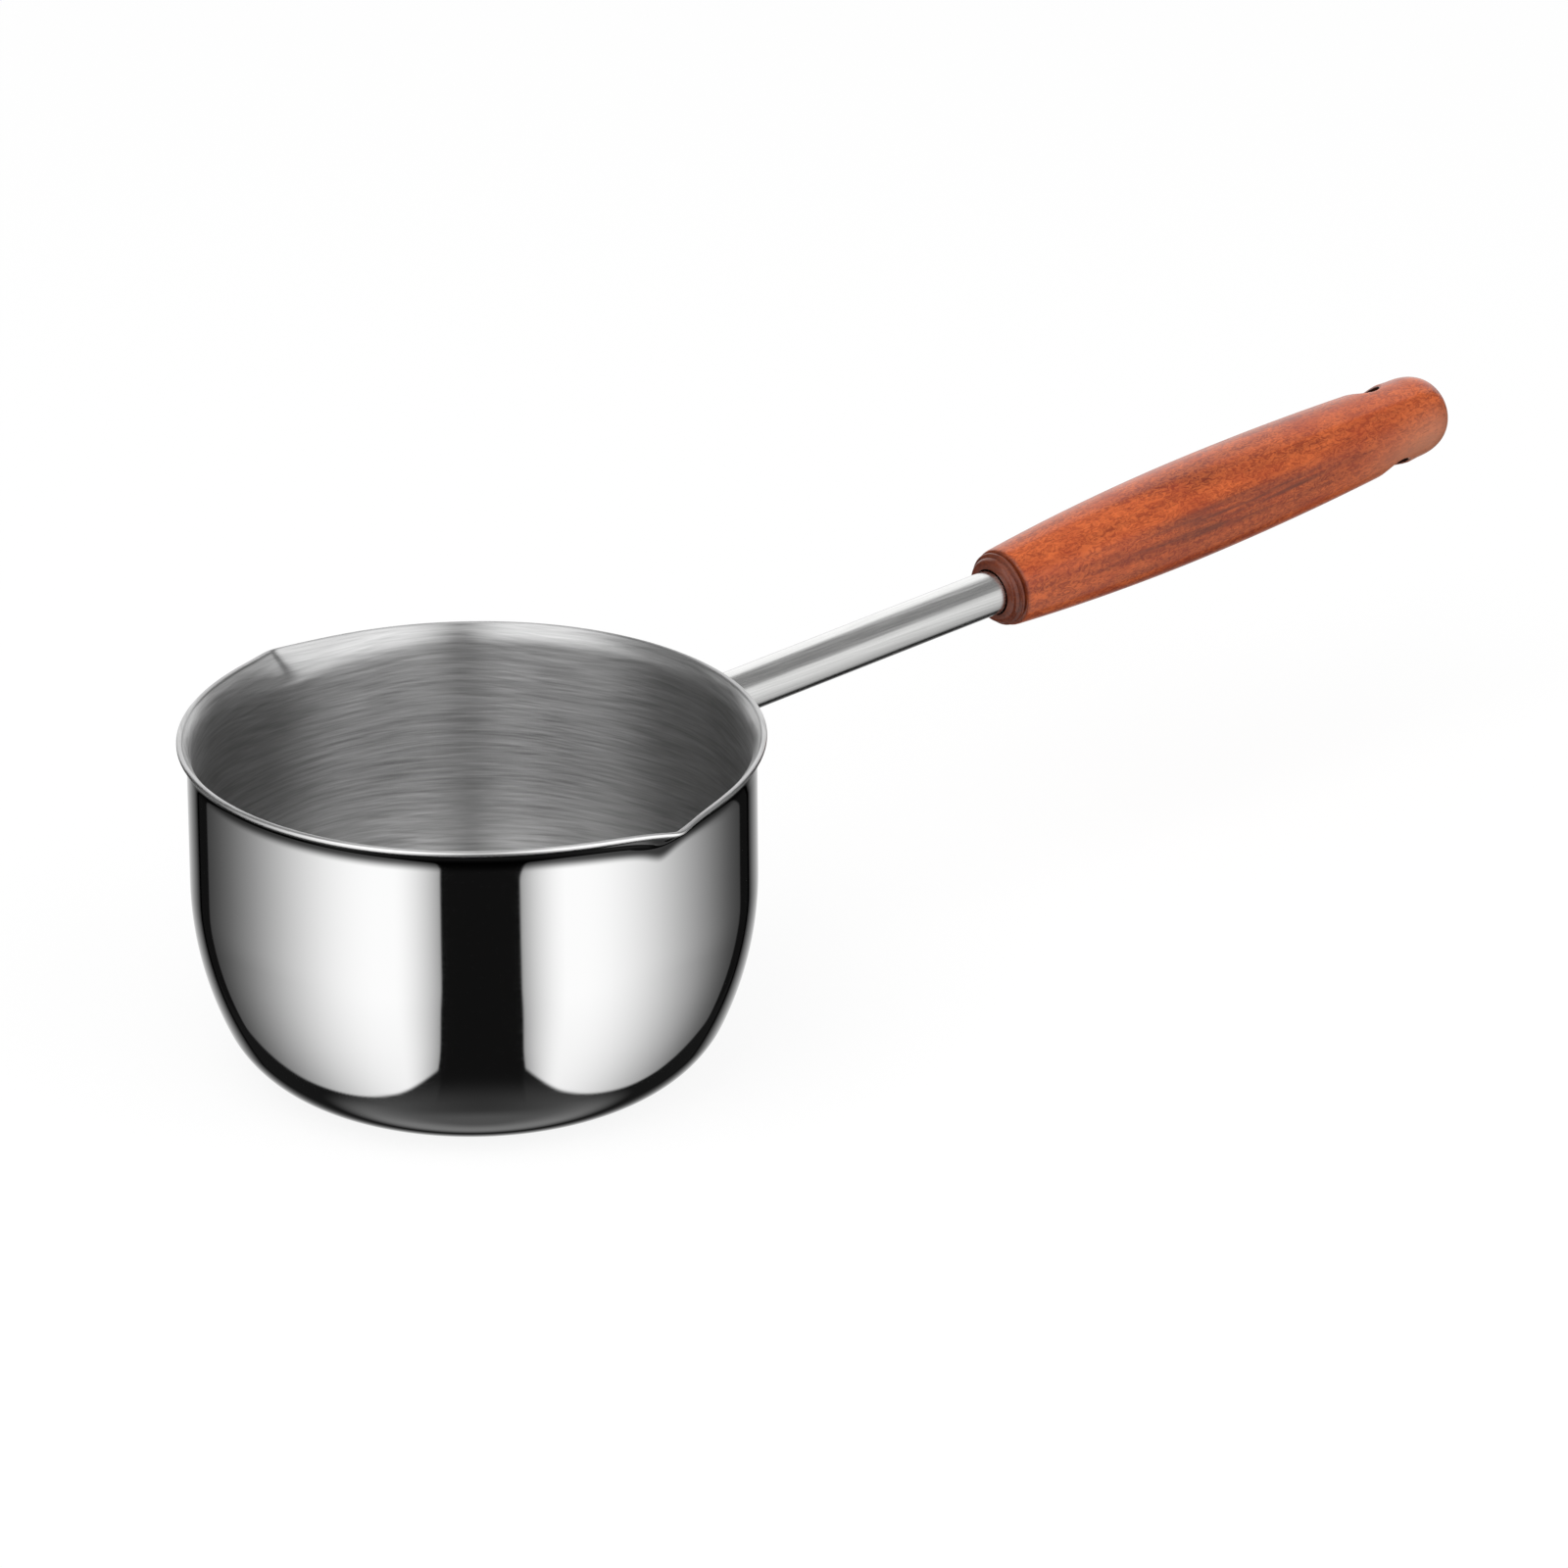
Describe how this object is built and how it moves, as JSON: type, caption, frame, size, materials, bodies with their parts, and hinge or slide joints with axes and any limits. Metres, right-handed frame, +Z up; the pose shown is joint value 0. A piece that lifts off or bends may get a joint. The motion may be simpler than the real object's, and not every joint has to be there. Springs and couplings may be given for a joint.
{
  "type": "saucepan",
  "caption": "Small round-bottomed saucepan with a flared rim, opposed pouring lips, a straight tube handle and a turned wooden grip with a hanging hole.",
  "frame": {"origin": "centre of the bowl's flat base, on the surface that it stands on", "axes": "+Z up along the bowl's axis, +X along the handle away from the bowl, the pouring lips at +Y and -Y"},
  "size_m": [0.3486, 0.1338, 0.0815],
  "materials": {
    "polished_metal": "polished",
    "weld_metal": "satin",
    "satin_metal": "satin",
    "plain_steel": "satin",
    "lacquered_wood": "gloss"
  },
  "bodies": {
    "root": {"pan_body": "polished_metal", "handle_weld": "weld_metal", "handle_tube": "satin_metal", "tube_end_plug": "plain_steel", "grip_screw": "plain_steel", "wood_grip": "lacquered_wood"}
  },
  "joints": []
}
